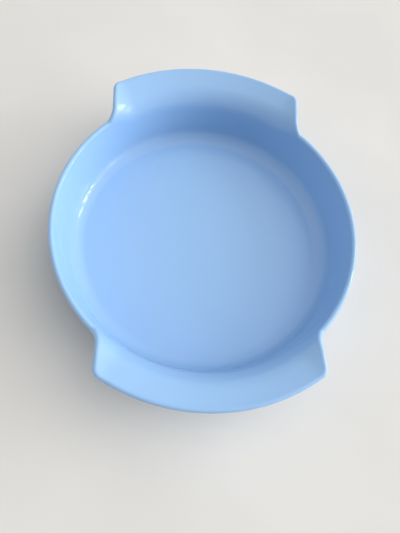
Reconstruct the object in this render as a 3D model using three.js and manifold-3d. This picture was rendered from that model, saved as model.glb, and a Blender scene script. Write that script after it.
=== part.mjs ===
// Eared serving dish: a round porcelain dish whose wall flares into two broad ears.
// Millimetres, +Z up. The origin is the centre of the foot ring, on the table.
// The ears point along +Y and -Y.
import * as THREE from 'three';
import { mergeVertices } from 'three/addons/utils/BufferGeometryUtils.js';
import Module from 'manifold-3d';

// Driving dimensions of the basin
const rimRadius = 120; // outermost edge of the rim at the sides
const rimHeight = 49; // top of the side rim above the table
const shellThickness = 4.5; // one thickness for floor, wall and ears
const wallLean = THREE.MathUtils.degToRad(9.5); // outward lean of the wall
const floorFilletRadius = 8; // inside corner between floor and wall

// Driving dimensions of the ears
const earProjection = 20.5; // outer edge of an ear beyond the side rim
const earHalfWidth = 78.5; // straight side of an ear from the middle of the dish
const earCornerRadius = 8.5; // rounded outer corners of an ear
const notchRadius = 16.5; // hollow between the side rim and the ear
const flareDepth = 9.5; // the wall starts to bend outwards this far below the side rim
const flareRadius = 20; // bend of the wall into the ear, at mid thickness
const brimLean = THREE.MathUtils.degToRad(66); // lean of the ear's straight outer part, from upright
const flareLead = THREE.MathUtils.degToRad(2); // the flare starts this much before the side rim ends
const flareBlend = THREE.MathUtils.degToRad(16); // and sinks to its full depth over this angle

// Driving dimensions of the foot ring
const footHeight = 3;
const footWidth = 5; // where it meets the floor
const footInset = 2.4; // from the edge of the flat underside to the ring
const footTaper = 0.6; // each side of the ring draws in towards the table
const footEdgeRadius = 0.9;

// Fineness of the facets
const arcStep = THREE.MathUtils.degToRad(4); // around the rim and the ears
const cornerStep = THREE.MathUtils.degToRad(11); // around notches and ear corners
const straightSteps = 3; // along an ear's straight side
const filletSteps = 4; // from the floor to the wall
const upperSteps = 8; // from the flare's start to the edge
const rollSteps = 5; // around the rounded edge
const footSegments = 96;
const footEdgeSteps = 3;
const slopeProbe = 1e-4; // step used to measure the slope of the shell
const mergeTolerance = 1e-5; // points closer than this are one
const cutterMargin = 10; // how far a cutter reaches past what it cuts

// A section of the shell runs through these stages, from the middle of the floor to the edge
const flatEnd = 1; // flat floor up to here
const filletEnd = 2; // then the fillet
const wallEnd = 3; // then the lower wall
const edgeEnd = 4; // then the part that flares, which stays straight at the side rim

const glazeMaterial = new THREE.MeshStandardMaterial({ color: 0x9fc6f0, roughness: 0.15, metalness: 0 });
const biscuitMaterial = new THREE.MeshStandardMaterial({ color: 0xe6e1d8, roughness: 0.85, metalness: 0 });

// The shell is drawn at mid thickness first. These lines follow from the driving dimensions.
const halfThickness = shellThickness / 2;
const floorLevel = footHeight + halfThickness;
const edgeRadius = rimRadius - halfThickness;
const edgeLevel = rimHeight - halfThickness;
const earEdgeRadius = edgeRadius + earProjection;
const wallDirection = new THREE.Vector2(Math.sin(wallLean), Math.cos(wallLean));
const wallOutward = new THREE.Vector2(wallDirection.y, -wallDirection.x);
const sideEdge = new THREE.Vector2(edgeRadius, edgeLevel);

// Corner where the floor line and the wall line would meet, and the arc that rounds it
const cornerRadius = edgeRadius - (edgeLevel - floorLevel) * Math.tan(wallLean);
const filletRadius = floorFilletRadius + halfThickness;
const filletTurn = Math.PI / 2 - wallLean;
const filletTangent = filletRadius * Math.tan(filletTurn / 2);
const flatRadius = cornerRadius - filletTangent;

// Plan of the edge in the first quadrant, at mid thickness: side, notch, straight side, corner, ear
const sideX = earHalfWidth - halfThickness;
const notchArc = notchRadius + halfThickness;
const notchCentre = tangentCentre(edgeRadius + notchArc, sideX + notchArc);
const cornerArc = earCornerRadius - halfThickness;
const cornerCentre = tangentCentre(earEdgeRadius - cornerArc, sideX - cornerArc);

// Centre of a blend circle at a given distance from the dish's axis and a given x
function tangentCentre(distance, x) {
  return new THREE.Vector2(x, Math.sqrt(distance ** 2 - x ** 2));
}

function arc(centre, radius, from, to) {
  return new THREE.EllipseCurve(centre.x, centre.y, radius, radius, from, to, to < from);
}

function quadrantCurves() {
  const centre = new THREE.Vector2();
  const notchAngle = notchCentre.angle();
  const cornerAngle = cornerCentre.angle();
  const straight = new THREE.LineCurve(
    new THREE.Vector2(sideX, notchCentre.y),
    new THREE.Vector2(sideX, cornerCentre.y)
  );
  const stepsOf = (turn, step) => Math.ceil(turn / step);
  return [
    { curve: arc(centre, edgeRadius, 0, notchAngle), steps: stepsOf(notchAngle, arcStep) },
    {
      curve: arc(notchCentre, notchArc, Math.PI + notchAngle, Math.PI),
      steps: stepsOf(notchAngle, cornerStep),
    },
    { curve: straight, steps: straightSteps },
    { curve: arc(cornerCentre, cornerArc, 0, cornerAngle), steps: stepsOf(cornerAngle, cornerStep) },
    {
      curve: arc(centre, earEdgeRadius, cornerAngle, Math.PI / 2),
      steps: stepsOf(Math.PI / 2 - cornerAngle, arcStep),
    },
  ];
}

// Points of the edge from the +X axis to the +Y axis, each with the direction of travel
function quadrantStations() {
  const stations = [];
  for (const { curve, steps } of quadrantCurves()) {
    for (let i = 0; i < steps; i += 1) {
      stations.push({ point: curve.getPoint(i / steps), travel: curve.getTangent(i / steps) });
    }
  }
  stations.push({ point: new THREE.Vector2(0, earEdgeRadius), travel: new THREE.Vector2(-1, 0) });
  return stations;
}

// The whole edge, counter-clockwise: the quadrant mirrored about both axes
function edgeStations() {
  const quadrant = quadrantStations();
  const mirrored = (signX, signY) => {
    const turned = signX * signY;
    const half = quadrant.map(({ point, travel }) => ({
      point: new THREE.Vector2(point.x * signX, point.y * signY),
      travel: new THREE.Vector2(travel.x * signX * turned, travel.y * signY * turned),
    }));
    return turned > 0 ? half.slice(0, -1) : half.reverse().slice(0, -1);
  };
  return [...mirrored(1, 1), ...mirrored(-1, 1), ...mirrored(-1, -1), ...mirrored(1, -1)];
}

// How far along the wall the flare starts in the direction of an edge point. It leaves the rim just
// before the side rim ends and sinks to its full depth within the ear, so the ear's corners stand a
// little higher than its middle.
function flareStart(edgePoint) {
  const azimuth = Math.atan2(Math.abs(edgePoint.y), Math.abs(edgePoint.x));
  const blendStart = notchCentre.angle() - flareLead;
  return -flareDepth * THREE.MathUtils.smoothstep(azimuth, blendStart, blendStart + flareBlend);
}

// How far the wall then turns outwards, and how far it runs straight from there to the edge point
function flareShape(edgePoint) {
  const reach = edgePoint.length() - onWall(flareStart(edgePoint)).x;
  const bendReach = flareRadius * (wallDirection.y - Math.cos(brimLean));
  if (reach < bendReach) {
    return { fullTurn: Math.acos(wallDirection.y - reach / flareRadius) - wallLean, brim: 0 };
  }
  return { fullTurn: brimLean - wallLean, brim: (reach - bendReach) / Math.sin(brimLean) };
}

// Point of the wall line, measured along it from the side edge
function onWall(distance) {
  return sideEdge.clone().addScaledVector(wallDirection, distance);
}

// Point of the section that ends at an edge point, as distance from the axis and height
function sectionPoint(edgePoint, stage) {
  if (stage <= flatEnd) {
    return new THREE.Vector2(flatRadius * stage, floorLevel);
  }
  if (stage <= filletEnd) {
    const turn = (stage - flatEnd) * filletTurn;
    return new THREE.Vector2(
      flatRadius + filletRadius * Math.sin(turn),
      floorLevel + filletRadius * (1 - Math.cos(turn))
    );
  }
  if (stage <= wallEnd) {
    const wallFoot = sectionPoint(edgePoint, filletEnd).sub(sideEdge).dot(wallDirection);
    return onWall(THREE.MathUtils.lerp(wallFoot, -flareDepth, stage - filletEnd));
  }
  const start = flareStart(edgePoint);
  const straightLength = start + flareDepth;
  const { fullTurn, brim } = flareShape(edgePoint);
  const travelled = (stage - wallEnd) * (straightLength + flareRadius * fullTurn + brim);
  if (travelled <= straightLength) {
    return onWall(travelled - flareDepth);
  }
  const turn = Math.min((travelled - straightLength) / flareRadius, fullTurn);
  const beyondBend = travelled - straightLength - flareRadius * turn;
  const lean = wallLean + turn;
  return onWall(start)
    .addScaledVector(wallDirection, flareRadius * Math.sin(turn))
    .addScaledVector(wallOutward, flareRadius * (1 - Math.cos(turn)))
    .addScaledVector(new THREE.Vector2(Math.sin(lean), Math.cos(lean)), beyondBend);
}

// The same section turned upright into the direction of an edge point
function shellPoint(edgePoint, stage) {
  const section = sectionPoint(edgePoint, stage);
  const direction = edgePoint.clone().normalize();
  return new THREE.Vector3(direction.x * section.x, direction.y * section.x, section.y);
}

// Point at mid thickness, the normal towards the inside and the direction out over the edge
function shellFrame(station, stage) {
  const ahead = station.point.clone().addScaledVector(station.travel, slopeProbe);
  const behind = station.point.clone().addScaledVector(station.travel, -slopeProbe);
  const along = shellPoint(ahead, stage).sub(shellPoint(behind, stage)).normalize();
  const above = shellPoint(station.point, Math.min(stage + slopeProbe, edgeEnd));
  const climb = above.sub(shellPoint(station.point, stage - slopeProbe)).normalize();
  const inward = new THREE.Vector3().crossVectors(climb, along).normalize();
  const outEdge = new THREE.Vector3().crossVectors(along, inward).normalize();
  return { middle: shellPoint(station.point, stage), inward, outEdge };
}

// One closed rib of skin points: up the inside, around the rounded edge and down the outside
function ribPoints(station) {
  const stages = [];
  for (let i = 0; i <= filletSteps; i += 1) {
    stages.push(flatEnd + i / filletSteps);
  }
  for (let i = 0; i < upperSteps; i += 1) {
    stages.push(wallEnd + i / upperSteps);
  }
  const face = (stage, distance) => {
    const { middle, inward } = shellFrame(station, stage);
    return middle.addScaledVector(inward, distance);
  };
  const inside = stages.map((stage) => face(stage, halfThickness));
  const outside = stages.map((stage) => face(stage, -halfThickness)).reverse();
  const { middle, inward, outEdge } = shellFrame(station, edgeEnd);
  const roll = [];
  for (let i = 0; i <= rollSteps; i += 1) {
    const angle = (i / rollSteps) * Math.PI;
    const reach = inward.clone().multiplyScalar(Math.cos(angle)).addScaledVector(outEdge, Math.sin(angle));
    roll.push(middle.clone().addScaledVector(reach, halfThickness));
  }
  return [...inside, ...roll, ...outside];
}

// Closed skin of basin and ears in one: ribs side by side, and a fan over and under the flat floor
function skinGeometry() {
  const ribs = edgeStations().map(ribPoints);
  const rows = ribs[0].length;
  const positions = ribs.flat().flatMap((point) => point.toArray());
  const insideCentre = ribs.length * rows;
  const outsideCentre = insideCentre + 1;
  positions.push(0, 0, floorLevel + halfThickness, 0, 0, floorLevel - halfThickness);
  const indices = [];
  ribs.forEach((_, index) => {
    const here = index * rows;
    const next = ((index + 1) % ribs.length) * rows;
    for (let row = 0; row < rows - 1; row += 1) {
      indices.push(here + row, here + row + 1, next + row + 1);
      indices.push(here + row, next + row + 1, next + row);
    }
    indices.push(insideCentre, here, next);
    indices.push(outsideCentre, next + rows - 1, here + rows - 1);
  });
  const geometry = new THREE.BufferGeometry();
  geometry.setAttribute('position', new THREE.Float32BufferAttribute(positions, 3));
  geometry.setIndex(indices);
  return geometry;
}

// Ring with a flat top against the floor, slightly tapered sides and rounded edges on the table
function footGeometry() {
  const outer = flatRadius - footInset;
  const inner = outer - footWidth;
  const profile = [new THREE.Vector2(inner, footHeight)];
  const bottomEdges = [
    { x: inner + footTaper + footEdgeRadius, start: Math.PI },
    { x: outer - footTaper - footEdgeRadius, start: 1.5 * Math.PI },
  ];
  for (const { x, start } of bottomEdges) {
    for (let i = 0; i <= footEdgeSteps; i += 1) {
      const angle = start + ((i / footEdgeSteps) * Math.PI) / 2;
      profile.push(new THREE.Vector2(
        x + footEdgeRadius * Math.cos(angle),
        footEdgeRadius * (1 + Math.sin(angle))
      ));
    }
  }
  profile.push(new THREE.Vector2(outer, footHeight), profile[0].clone());
  return uprightLathe(profile, footSegments);
}

// LatheGeometry turns about Y, so it is tipped over to stand on Z
function uprightLathe(profile, segments) {
  return new THREE.LatheGeometry(profile, segments).rotateX(Math.PI / 2);
}

const wasm = await Module();
wasm.setup();

function toSolid(geometry) {
  const bare = geometry.clone();
  bare.deleteAttribute('normal');
  bare.deleteAttribute('uv');
  const merged = mergeVertices(bare, mergeTolerance);
  const mesh = new wasm.Mesh({
    numProp: 3,
    vertProperties: new Float32Array(merged.attributes.position.array),
    triVerts: new Uint32Array(merged.index.array),
  });
  return new wasm.Manifold(mesh);
}

function toGeometry(solid) {
  const mesh = solid.getMesh();
  const geometry = new THREE.BufferGeometry();
  geometry.setAttribute('position', new THREE.Float32BufferAttribute(mesh.vertProperties, 3));
  geometry.setIndex(Array.from(mesh.triVerts));
  geometry.computeVertexNormals();
  return geometry;
}

// Block around one ear, from the middle of the dish outwards. Its sides stand where the side rim
// ends and its underside lies at the level where the flare starts.
function earBlock(direction) {
  const jointLevel = onWall(-flareDepth).y;
  const jointHalfWidth = edgeRadius * Math.cos(notchCentre.angle());
  const depth = rimRadius + earProjection + cutterMargin;
  const height = rimHeight + flareRadius + cutterMargin - jointLevel;
  const block = new THREE.BoxGeometry(2 * jointHalfWidth, depth, height);
  block.translate(0, (direction * depth) / 2, jointLevel + height / 2);
  return toSolid(block);
}

function namedMesh(name, geometry, material) {
  const mesh = new THREE.Mesh(geometry, material.clone());
  mesh.name = name;
  return mesh;
}

const shell = toSolid(skinGeometry());
const frontBlock = earBlock(-1);
const backBlock = earBlock(1);

const dish = new THREE.Group();
dish.add(
  namedMesh('basin', toGeometry(shell.subtract(frontBlock).subtract(backBlock)), glazeMaterial),
  namedMesh('ear_front', toGeometry(shell.intersect(frontBlock)), glazeMaterial),
  namedMesh('ear_back', toGeometry(shell.intersect(backBlock)), glazeMaterial),
  namedMesh('foot_ring', footGeometry(), biscuitMaterial)
);

export default dish;
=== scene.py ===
"""Looks of the eared serving dish: one glazed shell and its bare foot ring on a plain pale floor."""
import math

import bmesh
import bpy
from mathutils import Matrix, Vector


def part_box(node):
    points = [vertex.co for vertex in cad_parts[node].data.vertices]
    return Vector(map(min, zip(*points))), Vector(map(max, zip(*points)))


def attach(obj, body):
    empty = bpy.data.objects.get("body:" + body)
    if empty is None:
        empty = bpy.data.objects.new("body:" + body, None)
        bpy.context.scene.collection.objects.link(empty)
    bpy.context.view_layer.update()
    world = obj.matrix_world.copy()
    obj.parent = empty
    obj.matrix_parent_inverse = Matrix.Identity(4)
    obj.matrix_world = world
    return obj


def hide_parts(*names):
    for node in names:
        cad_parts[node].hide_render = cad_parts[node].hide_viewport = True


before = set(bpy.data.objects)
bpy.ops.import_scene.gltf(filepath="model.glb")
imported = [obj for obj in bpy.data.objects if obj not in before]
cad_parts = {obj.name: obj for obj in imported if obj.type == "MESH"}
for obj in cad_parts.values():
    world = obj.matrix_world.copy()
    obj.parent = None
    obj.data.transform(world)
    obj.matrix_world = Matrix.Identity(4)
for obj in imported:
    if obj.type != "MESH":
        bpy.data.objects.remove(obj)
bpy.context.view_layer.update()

# Sizes in metres that the frame gives
_, basin_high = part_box("basin")
ear_low, ear_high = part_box("ear_back")
_, foot_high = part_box("foot_ring")
RIM_RADIUS = basin_high.x
RIM_HEIGHT = basin_high.z
EAR_REACH = ear_high.y
FLARE_LEVEL = ear_low.z  # the wall starts to bend into the ears here
FOOT_HEIGHT = foot_high.z
FOOT_OUTER = foot_high.x

# Sizes in metres that the boxes don't show
SHELL_THICKNESS = 0.0045
WALL_LEAN = math.radians(9.5)  # from upright
FLOOR_FILLET_RADIUS = 0.008
GLAZE_FILLET_RADIUS = 0.012  # glaze gathers in the inside corner, up to 1.2 mm thicker
EAR_HALF_WIDTH = 0.0785
EAR_CORNER_RADIUS = 0.0085
NOTCH_RADIUS = 0.0165
FLARE_RADIUS = 0.02
BRIM_LEAN = math.radians(66)  # from upright
FLARE_LEAD = math.radians(2)  # the flare starts this far ahead of the notch's centre
FLARE_BLEND = math.radians(16)  # and reaches its full depth over this angle
FOOT_WIDTH = 0.005
FOOT_TAPER = 0.0006
FOOT_EDGE_RADIUS = 0.0009

# Fineness of the surface
ARC_STEP = math.radians(1.2)
CORNER_STEP = math.radians(3.5)
STRAIGHT_STEPS = 8
FLOOR_RINGS = (0.3, 0.6, 0.85, 0.95, 0.985)  # shares of the flat floor's radius
FILLET_STEPS = 24
LOWER_STEPS = 4
UPPER_STEPS = 30
ROLL_STEPS = 14
FOOT_SEGMENTS = 288
FOOT_EDGE_STEPS = 6
SLOPE_PROBE = 1e-4  # share of a stage, or of the rim's radius, over which a slope is measured

# The shell at mid thickness
HALF_THICKNESS = SHELL_THICKNESS / 2
FLOOR_LEVEL = FOOT_HEIGHT + HALF_THICKNESS
EDGE_RADIUS = RIM_RADIUS - HALF_THICKNESS
EDGE_LEVEL = RIM_HEIGHT - HALF_THICKNESS
EAR_EDGE_RADIUS = EAR_REACH - HALF_THICKNESS
WALL_DIRECTION = Vector((math.sin(WALL_LEAN), math.cos(WALL_LEAN)))
WALL_OUTWARD = Vector((WALL_DIRECTION.y, -WALL_DIRECTION.x))
SIDE_EDGE = Vector((EDGE_RADIUS, EDGE_LEVEL))
FLARE_DEPTH = (EDGE_LEVEL - FLARE_LEVEL) / math.cos(WALL_LEAN)
UNDERSIDE_FILLET = FLOOR_FILLET_RADIUS + HALF_THICKNESS
INSIDE_FILLET = GLAZE_FILLET_RADIUS + HALF_THICKNESS
FILLET_TURN = math.pi / 2 - WALL_LEAN
CORNER_RADIUS = EDGE_RADIUS - (EDGE_LEVEL - FLOOR_LEVEL) * math.tan(WALL_LEAN)


def tangent_centre(distance, x):
    """Centre of a blend circle at a given distance from the dish's axis and a given x."""
    return Vector((x, math.sqrt(distance ** 2 - x ** 2)))


def azimuth_of(point):
    """Angle of a plan point from +X."""
    return math.atan2(point.y, point.x)


# Arcs of the edge in plan, at mid thickness
SIDE_X = EAR_HALF_WIDTH - HALF_THICKNESS
NOTCH_ARC = NOTCH_RADIUS + HALF_THICKNESS
NOTCH_CENTRE = tangent_centre(EDGE_RADIUS + NOTCH_ARC, SIDE_X + NOTCH_ARC)
CORNER_ARC = EAR_CORNER_RADIUS - HALF_THICKNESS
CORNER_CENTRE = tangent_centre(EAR_EDGE_RADIUS - CORNER_ARC, SIDE_X - CORNER_ARC)

# A section of the shell runs through these stages, from the middle of the floor to the edge
FLAT_END = 1
FILLET_END = 2
WALL_END = 3
EDGE_END = 4


def arc_stations(centre, radius, start, end, step):
    """Points along an arc, without its last, each with the direction of travel."""
    steps = math.ceil(abs(end - start) / step)
    sense = math.copysign(1, end - start)
    stations = []
    for index in range(steps):
        angle = start + (end - start) * index / steps
        outward = Vector((math.cos(angle), math.sin(angle)))
        stations.append((centre + outward * radius, Vector((-outward.y, outward.x)) * sense))
    return stations


def quadrant_stations():
    """The edge in plan from +X to +Y: side rim, notch, straight side, corner, ear."""
    middle = Vector((0, 0))
    notch = azimuth_of(NOTCH_CENTRE)
    corner = azimuth_of(CORNER_CENTRE)
    stations = arc_stations(middle, EDGE_RADIUS, 0, notch, ARC_STEP)
    stations += arc_stations(NOTCH_CENTRE, NOTCH_ARC, math.pi + notch, math.pi, CORNER_STEP)
    for index in range(STRAIGHT_STEPS):
        y = NOTCH_CENTRE.y + (CORNER_CENTRE.y - NOTCH_CENTRE.y) * index / STRAIGHT_STEPS
        stations.append((Vector((SIDE_X, y)), Vector((0, 1))))
    stations += arc_stations(CORNER_CENTRE, CORNER_ARC, 0, corner, CORNER_STEP)
    stations += arc_stations(middle, EAR_EDGE_RADIUS, corner, math.pi / 2, ARC_STEP)
    stations.append((Vector((0, EAR_EDGE_RADIUS)), Vector((-1, 0))))
    return stations


def edge_stations():
    """The whole edge, counter-clockwise: the quadrant mirrored about both axes."""
    quadrant = quadrant_stations()

    def mirrored(sign_x, sign_y):
        """One quarter of the edge, counter-clockwise and without its last station."""
        turned = sign_x * sign_y
        half = [
            (
                Vector((point.x * sign_x, point.y * sign_y)),
                Vector((travel.x * sign_x, travel.y * sign_y)) * turned,
            )
            for point, travel in quadrant
        ]
        return half[:-1] if turned > 0 else half[:0:-1]

    return mirrored(1, 1) + mirrored(-1, 1) + mirrored(-1, -1) + mirrored(1, -1)


def smooth_step(value, low, high):
    """0 up to low, 1 from high on, and an even change between them."""
    share = min(max((value - low) / (high - low), 0), 1)
    return share * share * (3 - 2 * share)


def on_wall(distance):
    """Point of the wall line, measured along it from the side edge."""
    return SIDE_EDGE + WALL_DIRECTION * distance


def flare_start(edge_point):
    """How far along the wall the flare starts in the direction of an edge point."""
    azimuth = math.atan2(abs(edge_point.y), abs(edge_point.x))
    blend_start = azimuth_of(NOTCH_CENTRE) - FLARE_LEAD
    return -FLARE_DEPTH * smooth_step(azimuth, blend_start, blend_start + FLARE_BLEND)


def flare_shape(edge_point):
    """How far the wall turns outwards, and how far it then runs straight to the edge point."""
    reach = edge_point.length - on_wall(flare_start(edge_point)).x
    bend_reach = FLARE_RADIUS * (WALL_DIRECTION.y - math.cos(BRIM_LEAN))
    if reach < bend_reach:
        return math.acos(WALL_DIRECTION.y - reach / FLARE_RADIUS) - WALL_LEAN, 0
    return BRIM_LEAN - WALL_LEAN, (reach - bend_reach) / math.sin(BRIM_LEAN)


def section_point(edge_point, stage, fillet):
    """Point of the section that ends at an edge point, as distance from the axis and height."""
    flat_radius = CORNER_RADIUS - fillet * math.tan(FILLET_TURN / 2)
    if stage <= FLAT_END:
        return Vector((flat_radius * stage, FLOOR_LEVEL))
    if stage <= FILLET_END:
        turn = (stage - FLAT_END) * FILLET_TURN
        return Vector((
            flat_radius + fillet * math.sin(turn),
            FLOOR_LEVEL + fillet * (1 - math.cos(turn)),
        ))
    if stage <= WALL_END:
        wall_foot = (section_point(edge_point, FILLET_END, fillet) - SIDE_EDGE).dot(WALL_DIRECTION)
        return on_wall(wall_foot + (-FLARE_DEPTH - wall_foot) * (stage - FILLET_END))
    start = flare_start(edge_point)
    straight = start + FLARE_DEPTH
    full_turn, brim = flare_shape(edge_point)
    travelled = (stage - WALL_END) * (straight + FLARE_RADIUS * full_turn + brim)
    if travelled <= straight:
        return on_wall(travelled - FLARE_DEPTH)
    turn = min((travelled - straight) / FLARE_RADIUS, full_turn)
    lean = WALL_LEAN + turn
    return (
        on_wall(start)
        + WALL_DIRECTION * FLARE_RADIUS * math.sin(turn)
        + WALL_OUTWARD * FLARE_RADIUS * (1 - math.cos(turn))
        + Vector((math.sin(lean), math.cos(lean))) * (travelled - straight - FLARE_RADIUS * turn)
    )


def shell_point(edge_point, stage, fillet):
    """The same section turned upright into the direction of an edge point."""
    section = section_point(edge_point, stage, fillet)
    outward = edge_point.normalized()
    return Vector((outward.x * section.x, outward.y * section.x, section.y))


def shell_frame(station, stage, fillet):
    """Point at mid thickness, the normal towards the inside and the direction out over the edge."""
    point, travel = station
    middle = shell_point(point, stage, fillet)
    probe = travel * SLOPE_PROBE * EDGE_RADIUS
    ahead = shell_point(point + probe, stage, fillet)
    along = (ahead - shell_point(point - probe, stage, fillet)).normalized()
    above = shell_point(point, min(stage + SLOPE_PROBE, EDGE_END), fillet)
    climb = (above - shell_point(point, stage - SLOPE_PROBE, fillet)).normalized()
    inward = climb.cross(along).normalized()
    return middle, inward, along.cross(inward).normalized()


def section_stages():
    """Stages of the rows of points, from the first ring of the floor to just below the edge."""
    stages = list(FLOOR_RINGS)
    stages += [FLAT_END + step / FILLET_STEPS for step in range(FILLET_STEPS)]
    stages += [FILLET_END + step / LOWER_STEPS for step in range(LOWER_STEPS)]
    stages += [WALL_END + step / UPPER_STEPS for step in range(UPPER_STEPS)]
    return stages


def rib_points(station, stages):
    """One rib of skin points: up the inside, around the rounded edge and down the outside."""
    inside = []
    outside = []
    for stage in stages:
        middle, inward, _ = shell_frame(station, stage, INSIDE_FILLET)
        inside.append(middle + inward * HALF_THICKNESS)
        middle, inward, _ = shell_frame(station, stage, UNDERSIDE_FILLET)
        outside.append(middle - inward * HALF_THICKNESS)
    middle, inward, out_edge = shell_frame(station, EDGE_END, UNDERSIDE_FILLET)
    roll = []
    for step in range(ROLL_STEPS + 1):
        angle = math.pi * step / ROLL_STEPS
        roll.append(middle + (inward * math.cos(angle) + out_edge * math.sin(angle)) * HALF_THICKNESS)
    return inside + roll + outside[::-1]


# How thickly the glaze lies, where 1 is its depth on the open faces
POOL_STAGE = 1.35  # it is deepest at this stage of the section
POOL_REACH = 0.75  # and back to 1 this many stages away
POOL_EXTRA = 0.2  # how much deeper it is there
THINNING_START = 3.86  # stage from which it thins towards the edge
THINNING_SHARE = 0.7  # how much of the thinning is done just below the edge
EDGE_DEPTH = 0.25


def glaze_depths(stages):
    """How thickly the glaze lies on each row of a rib: thin round the edge, pooled in the fillet."""
    depths = []
    for stage in stages:
        pooled = max(0, 1 - abs(stage - POOL_STAGE) / POOL_REACH)
        thinned = smooth_step(stage, THINNING_START, EDGE_END)
        depths.append(1 + POOL_EXTRA * pooled - (1 - EDGE_DEPTH) * thinned * THINNING_SHARE)
    return depths + [EDGE_DEPTH] * (ROLL_STEPS + 1) + depths[::-1]


def new_object(name, data):
    """An object in the scene that shows a mesh, light or camera."""
    made = bpy.data.objects.new(name, data)
    bpy.context.scene.collection.objects.link(made)
    return made


def mesh_from(build, name):
    """A smooth-shaded mesh from a bmesh, with its faces pointing out."""
    bmesh.ops.recalc_face_normals(build, faces=build.faces)
    for face in build.faces:
        face.smooth = True
    data = bpy.data.meshes.new(name)
    build.to_mesh(data)
    build.free()
    return data


def make_glazed_shell():
    """Basin and ears in one seamless skin."""
    stages = section_stages()
    depths = glaze_depths(stages)
    build = bmesh.new()
    depth_layer = build.verts.layers.float.new("glaze_depth")
    ribs = []
    for station in edge_stations():
        rib = [build.verts.new(point) for point in rib_points(station, stages)]
        for vertex, depth in zip(rib, depths):
            vertex[depth_layer] = depth
        ribs.append(rib)
    inner_middle = build.verts.new((0, 0, FLOOR_LEVEL + HALF_THICKNESS))
    outer_middle = build.verts.new((0, 0, FLOOR_LEVEL - HALF_THICKNESS))
    inner_middle[depth_layer] = 1
    outer_middle[depth_layer] = 1
    for here, following in zip(ribs, ribs[1:] + ribs[:1]):
        for row in range(len(here) - 1):
            build.faces.new((here[row], here[row + 1], following[row + 1], following[row]))
        build.faces.new((inner_middle, here[0], following[0]))
        build.faces.new((outer_middle, following[-1], here[-1]))
    shell = new_object("glazed_shell", mesh_from(build, "glazed_shell"))
    shell.data.materials.append(glaze_material())
    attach(shell, "root")
    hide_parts("basin", "ear_front", "ear_back")


def foot_profile():
    """Section of the foot ring: flat top against the floor, tapered sides and rounded tread."""
    inner = FOOT_OUTER - FOOT_WIDTH
    profile = [Vector((inner, FOOT_HEIGHT))]
    tread_edges = (
        (inner + FOOT_TAPER + FOOT_EDGE_RADIUS, math.pi),
        (FOOT_OUTER - FOOT_TAPER - FOOT_EDGE_RADIUS, 1.5 * math.pi),
    )
    for x, start in tread_edges:
        for step in range(FOOT_EDGE_STEPS + 1):
            angle = start + step / FOOT_EDGE_STEPS * math.pi / 2
            profile.append(Vector((
                x + FOOT_EDGE_RADIUS * math.cos(angle),
                FOOT_EDGE_RADIUS * (1 + math.sin(angle)),
            )))
    profile.append(Vector((FOOT_OUTER, FOOT_HEIGHT)))
    return profile


def make_foot_ring():
    """The bare ring under the floor."""
    build = bmesh.new()
    hoops = []
    for point in foot_profile():
        hoop = []
        for segment in range(FOOT_SEGMENTS):
            angle = 2 * math.pi * segment / FOOT_SEGMENTS
            hoop.append(build.verts.new((point.x * math.cos(angle), point.x * math.sin(angle), point.y)))
        hoops.append(hoop)
    for hoop, following in zip(hoops, hoops[1:] + hoops[:1]):
        for segment in range(FOOT_SEGMENTS):
            beside = (segment + 1) % FOOT_SEGMENTS
            build.faces.new((hoop[segment], hoop[beside], following[beside], following[segment]))
    ring = new_object("bare_foot_ring", mesh_from(build, "bare_foot_ring"))
    ring.data.materials.append(biscuit_material())
    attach(ring, "root")
    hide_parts("foot_ring")


def srgb(red, green, blue):
    """Linear colour of an sRGB colour given in 0 to 255."""
    def linear(code):
        value = code / 255
        return value / 12.92 if value <= 0.04045 else ((value + 0.055) / 1.055) ** 2.4
    return (linear(red), linear(green), linear(blue), 1.0)


# Colours of the glaze where it lies thin, on the open faces and where it pools, then of the rest
THIN_GLAZE = srgb(150, 192, 237)
OPEN_GLAZE = srgb(152, 194, 238)
POOLED_GLAZE = srgb(141, 184, 236)
BISCUIT = srgb(226, 217, 202)
BISCUIT_SHADE = srgb(203, 190, 171)
FLOOR_COLOUR = srgb(226, 224, 220)
FLOOR_SHADE = srgb(220, 218, 214)
BACKDROP_COLOUR = FLOOR_COLOUR

# Noises over the surfaces: features per metre, and finer layers
DRIFT_NOISE = (14, 3)
WAVE_NOISE = (38, 1)
RIPPLE_NOISE = (70, 1)
PEEL_NOISE = (650, 2)
CLAY_MOTTLE_NOISE = (120, 4)
CLAY_GRAIN_NOISE = (1400, 4)
FLOOR_NOISE = (6, 3)
NOISE_SPAN = (0.3, 0.7)  # nearly all of a noise's values lie in here

# Heights of the relief in metres
WAVE_RELIEF = 0.00025
RIPPLE_RELIEF = 0.0006
PEEL_RELIEF = 0.000008
CLAY_GRAIN_RELIEF = 0.00004

# Gloss of the glaze: a satin body under a clear glossy coat
GLAZE_ROUGHNESS = (0.3, 0.38)  # lowest and highest
GLAZE_SPECULAR = 0.3
GLAZE_IOR = 1.5
COAT_WEIGHT = 0.8
COAT_ROUGHNESS = 0.05

# How the depth of the glaze becomes its colour
DEEPEST_GLAZE = 1.6  # the colour of the pooled glaze is reached at this depth
DEPTH_DRIFT = 0.07  # how much the depth drifts over the faces

# The bare clay and the floor, with their colours' places along the noise
BISCUIT_ROUGHNESS = (0.75, 0.95)  # lowest and highest
BISCUIT_STOPS = ((0.35, BISCUIT_SHADE), (0.6, BISCUIT))
FLOOR_STOPS = ((0.35, FLOOR_SHADE), (0.65, FLOOR_COLOUR))
FLOOR_ROUGHNESS = 0.9
FLOOR_SPECULAR = 0.2


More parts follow.
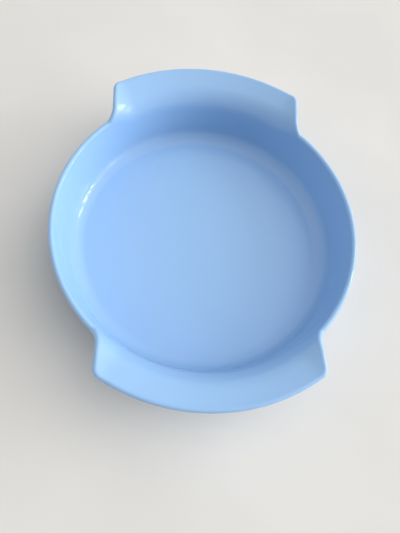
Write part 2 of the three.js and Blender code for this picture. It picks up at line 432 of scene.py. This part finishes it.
class Nodes:
    """Short calls to add and join the nodes of one material or world."""

    def __init__(self, owner):
        owner.use_nodes = True
        self.tree = owner.node_tree
        self.tree.nodes.clear()

    def add(self, kind, **settings):
        """A new node with its settings."""
        node = self.tree.nodes.new(kind)
        for name, value in settings.items():
            setattr(node, name, value)
        return node

    def join(self, output, socket):
        """A link from an output to an input."""
        self.tree.links.new(output, socket)

    def show(self, kind, shader):
        """An output node, with the shader that it shows."""
        self.join(shader, self.add(kind).inputs["Surface"])


def object_noise(nodes, coordinates, scale, detail):
    """Values of a noise over the object's own coordinates."""
    noise = nodes.add("ShaderNodeTexNoise")
    noise.inputs["Scale"].default_value = scale
    noise.inputs["Detail"].default_value = detail
    nodes.join(coordinates.outputs["Object"], noise.inputs["Vector"])
    return noise.outputs["Fac"]


def remap(nodes, value, span, new_span):
    """Map a value from one range to another, held at the ends."""
    ranged = nodes.add("ShaderNodeMapRange")
    nodes.join(value, ranged.inputs["Value"])
    for name, number in zip(("From Min", "From Max", "To Min", "To Max"), span + new_span):
        ranged.inputs[name].default_value = number
    return ranged.outputs["Result"]


def combine(nodes, operation, first, second):
    """A sum, product, power or greater value of an output and an output or number."""
    combined = nodes.add("ShaderNodeMath", operation=operation)
    nodes.join(first, combined.inputs[0])
    if isinstance(second, (int, float)):
        combined.inputs[1].default_value = second
    else:
        nodes.join(second, combined.inputs[1])
    return combined.outputs["Value"]


def colour_ramp(nodes, value, stops):
    """Colour that goes with a value from 0 to 1, between stops of position and colour."""
    ramp = nodes.add("ShaderNodeValToRGB")
    nodes.join(value, ramp.inputs["Fac"])
    elements = ramp.color_ramp.elements
    while len(elements) < len(stops):
        elements.new(0.5)  # its position follows below
    for element, (position, colour) in zip(elements, stops):
        element.position = position
        element.color = colour
    return ramp.outputs["Color"]


def bump(nodes, pattern, height, below=None):
    """Relief of a height in metres, on top of a coarser relief if there is one."""
    relief = nodes.add("ShaderNodeBump")
    relief.inputs["Distance"].default_value = height
    relief.inputs["Strength"].default_value = 1
    nodes.join(pattern, relief.inputs["Height"])
    if below is not None:
        nodes.join(below, relief.inputs["Normal"])
    return relief.outputs["Normal"]


def glaze_material():
    """Pale blue glaze over porcelain: paler where it thins, deeper where it pools, slightly wavy."""
    material = bpy.data.materials.new("pale_blue_glaze")
    nodes = Nodes(material)
    coordinates = nodes.add("ShaderNodeTexCoord")
    drift = object_noise(nodes, coordinates, *DRIFT_NOISE)
    wave = object_noise(nodes, coordinates, *WAVE_NOISE)
    ripple = object_noise(nodes, coordinates, *RIPPLE_NOISE)
    peel = object_noise(nodes, coordinates, *PEEL_NOISE)

    depth = nodes.add("ShaderNodeAttribute", attribute_name="glaze_depth")
    drifting = remap(nodes, drift, NOISE_SPAN, (-DEPTH_DRIFT, DEPTH_DRIFT))
    drifted = combine(nodes, "ADD", depth.outputs["Fac"], drifting)
    share = remap(nodes, drifted, (0, DEEPEST_GLAZE), (0, 1))
    colour = colour_ramp(nodes, share, (
        (EDGE_DEPTH / DEEPEST_GLAZE, THIN_GLAZE),
        (1 / DEEPEST_GLAZE, OPEN_GLAZE),
        (1, POOLED_GLAZE),
    ))

    waves = bump(nodes, wave, WAVE_RELIEF)
    relief = bump(nodes, peel, PEEL_RELIEF, waves)
    ripples = bump(nodes, ripple, RIPPLE_RELIEF, relief)

    surface = nodes.add("ShaderNodeBsdfPrincipled")
    surface.inputs["IOR"].default_value = GLAZE_IOR
    surface.inputs["Specular IOR Level"].default_value = GLAZE_SPECULAR
    surface.inputs["Coat Weight"].default_value = COAT_WEIGHT
    surface.inputs["Coat Roughness"].default_value = COAT_ROUGHNESS
    surface.inputs["Coat IOR"].default_value = GLAZE_IOR
    nodes.join(colour, surface.inputs["Base Color"])
    nodes.join(remap(nodes, peel, NOISE_SPAN, GLAZE_ROUGHNESS), surface.inputs["Roughness"])
    nodes.join(relief, surface.inputs["Normal"])
    nodes.join(ripples, surface.inputs["Coat Normal"])
    nodes.show("ShaderNodeOutputMaterial", surface.outputs["BSDF"])
    return material


def biscuit_material():
    """Bare fired clay: matt, finely grained and a little worn."""
    material = bpy.data.materials.new("bare_biscuit")
    nodes = Nodes(material)
    coordinates = nodes.add("ShaderNodeTexCoord")
    mottle = object_noise(nodes, coordinates, *CLAY_MOTTLE_NOISE)
    grain = object_noise(nodes, coordinates, *CLAY_GRAIN_NOISE)
    surface = nodes.add("ShaderNodeBsdfPrincipled")
    nodes.join(colour_ramp(nodes, mottle, BISCUIT_STOPS), surface.inputs["Base Color"])
    nodes.join(remap(nodes, grain, NOISE_SPAN, BISCUIT_ROUGHNESS), surface.inputs["Roughness"])
    nodes.join(bump(nodes, grain, CLAY_GRAIN_RELIEF), surface.inputs["Normal"])
    nodes.show("ShaderNodeOutputMaterial", surface.outputs["BSDF"])
    return material


def floor_material():
    """Plain pale matt floor with the faintest mottling."""
    material = bpy.data.materials.new("pale_floor")
    nodes = Nodes(material)
    coordinates = nodes.add("ShaderNodeTexCoord")
    mottle = object_noise(nodes, coordinates, *FLOOR_NOISE)
    surface = nodes.add("ShaderNodeBsdfPrincipled")
    surface.inputs["Roughness"].default_value = FLOOR_ROUGHNESS
    surface.inputs["Specular IOR Level"].default_value = FLOOR_SPECULAR
    nodes.join(colour_ramp(nodes, mottle, FLOOR_STOPS), surface.inputs["Base Color"])
    nodes.show("ShaderNodeOutputMaterial", surface.outputs["BSDF"])
    return material


# Distances in the room are in metres
FLOOR_HALF_SIZE = 6


def make_floor():
    """The plain floor that the dish stands on."""
    build = bmesh.new()
    bmesh.ops.create_grid(build, x_segments=1, y_segments=1, size=FLOOR_HALF_SIZE)
    floor = new_object("floor", mesh_from(build, "floor"))
    floor.data.materials.append(floor_material())


# The room's light, as soft glows. Each has an azimuth from +X and an elevation in degrees,
# then how closely it keeps to that direction, and its strength.
ROOM_GLOWS = (
    (0, 90, 8, 1.05),
    (18, 50, 6, 2.2),
    (25, 8, 6, 1.5),
    (-15, 12, 25, 7.0),
    (180, 25, 6, 1.15),
)

# Tall narrow window panes, which show as highlights in the fillet.
# Each has an azimuth from +X in degrees, a width, and a power in watts.
PANES = (
    (-17.5, 0.26, 2.6),
    (-1.6, 0.095, 4.2),
    (5.2, 0.245, 9.8),
    (14.4, 0.2, 6.6),
)
PANE_ELEVATION = math.radians(20)
PANE_DISTANCE = 3.0
PANE_HEIGHT = 1.12


def direction(azimuth, elevation):
    """Unit vector from the dish towards an azimuth, counted from +X, and an elevation."""
    return Vector((
        math.cos(azimuth) * math.cos(elevation),
        math.sin(azimuth) * math.cos(elevation),
        math.sin(elevation),
    ))


def glow(nodes, coordinates, towards, sharpness, strength):
    """Strength of light that comes mostly from one direction and falls off smoothly around it."""
    facing = nodes.add("ShaderNodeVectorMath", operation="DOT_PRODUCT")
    nodes.join(coordinates.outputs["Generated"], facing.inputs[0])
    facing.inputs[1].default_value = towards
    lit = combine(nodes, "MAXIMUM", facing.outputs["Value"], 0)
    narrowed = combine(nodes, "POWER", lit, sharpness)
    return combine(nodes, "MULTIPLY", narrowed, strength)


def make_world():
    """Soft room light on the object, and the backdrop's colour for what looks past it."""
    world = bpy.data.worlds.new("pale_room")
    bpy.context.scene.world = world
    nodes = Nodes(world)
    coordinates = nodes.add("ShaderNodeTexCoord")
    total = None
    for azimuth, elevation, sharpness, strength in ROOM_GLOWS:
        towards = direction(math.radians(azimuth), math.radians(elevation))
        part = glow(nodes, coordinates, towards, sharpness, strength)
        total = part if total is None else combine(nodes, "ADD", total, part)
    room = nodes.add("ShaderNodeBackground")
    room.inputs["Color"].default_value = (1, 1, 1, 1)
    nodes.join(total, room.inputs["Strength"])
    backdrop = nodes.add("ShaderNodeBackground")
    backdrop.inputs["Color"].default_value = BACKDROP_COLOUR
    backdrop.inputs["Strength"].default_value = 1
    path = nodes.add("ShaderNodeLightPath")
    seen = combine(nodes, "ADD", path.outputs["Is Camera Ray"], path.outputs["Is Glossy Ray"])
    seen = combine(nodes, "ADD", seen, path.outputs["Is Transmission Ray"])
    mix = nodes.add("ShaderNodeMixShader")
    nodes.join(seen, mix.inputs["Fac"])
    nodes.join(room.outputs["Background"], mix.inputs[1])
    nodes.join(backdrop.outputs["Background"], mix.inputs[2])
    nodes.show("ShaderNodeOutputWorld", mix.outputs["Shader"])


def make_pane(name, azimuth, width, power):
    """A window pane, as a rectangular lamp that faces the middle of the dish."""
    data = bpy.data.lights.new(name, "AREA")
    data.shape = "RECTANGLE"
    data.size = width
    data.size_y = PANE_HEIGHT
    data.energy = power
    pane = new_object(name, data)
    towards = direction(math.radians(azimuth), PANE_ELEVATION)
    pane.location = towards * PANE_DISTANCE
    pane.rotation_euler = towards.to_track_quat("Z", "Y").to_euler()


# The camera, fitted to the dish's outline in the photograph
PHOTO_WIDTH = 400
PHOTO_HEIGHT = 533
FOCAL_PIXELS = 400
VIEW_AZIMUTH = math.radians(-18.9)
VIEW_ELEVATION = math.radians(69.44)
VIEW_ROLL = math.radians(19.42)
VIEW_DISTANCE = 0.3095
AIM_PIXEL = Vector((208.9, 220.1))  # the middle of the side rim's plane lies here in the photograph
SENSOR_SIZE = 36  # in millimetres, like the lens


def make_camera():
    """The photograph's view: the fitted direction, roll, distance and aim."""
    data = bpy.data.cameras.new("camera")
    data.sensor_width = SENSOR_SIZE
    data.lens = FOCAL_PIXELS / PHOTO_HEIGHT * SENSOR_SIZE
    back = Vector((
        math.sin(VIEW_AZIMUTH) * math.cos(VIEW_ELEVATION),
        -math.cos(VIEW_AZIMUTH) * math.cos(VIEW_ELEVATION),
        math.sin(VIEW_ELEVATION),
    ))
    level = Vector((math.cos(VIEW_AZIMUTH), math.sin(VIEW_AZIMUTH), 0))
    upward = back.cross(level)
    right = level * math.cos(VIEW_ROLL) + upward * math.sin(VIEW_ROLL)
    up = back.cross(right)
    aim = Vector((0, 0, RIM_HEIGHT))
    offset = (AIM_PIXEL - Vector((PHOTO_WIDTH, PHOTO_HEIGHT)) / 2) / FOCAL_PIXELS
    location = aim + (back - right * offset.x + up * offset.y) * VIEW_DISTANCE
    camera = new_object("camera", data)
    axes = Matrix((right, up, back)).transposed().to_4x4()
    camera.matrix_world = Matrix.Translation(location) @ axes
    bpy.context.scene.camera = camera


make_glazed_shell()
make_foot_ring()
make_floor()
make_world()
for number, pane in enumerate(PANES, 1):
    make_pane(f"pane_{number}", *pane)
make_camera()
bpy.context.scene.view_settings.view_transform = "Standard"
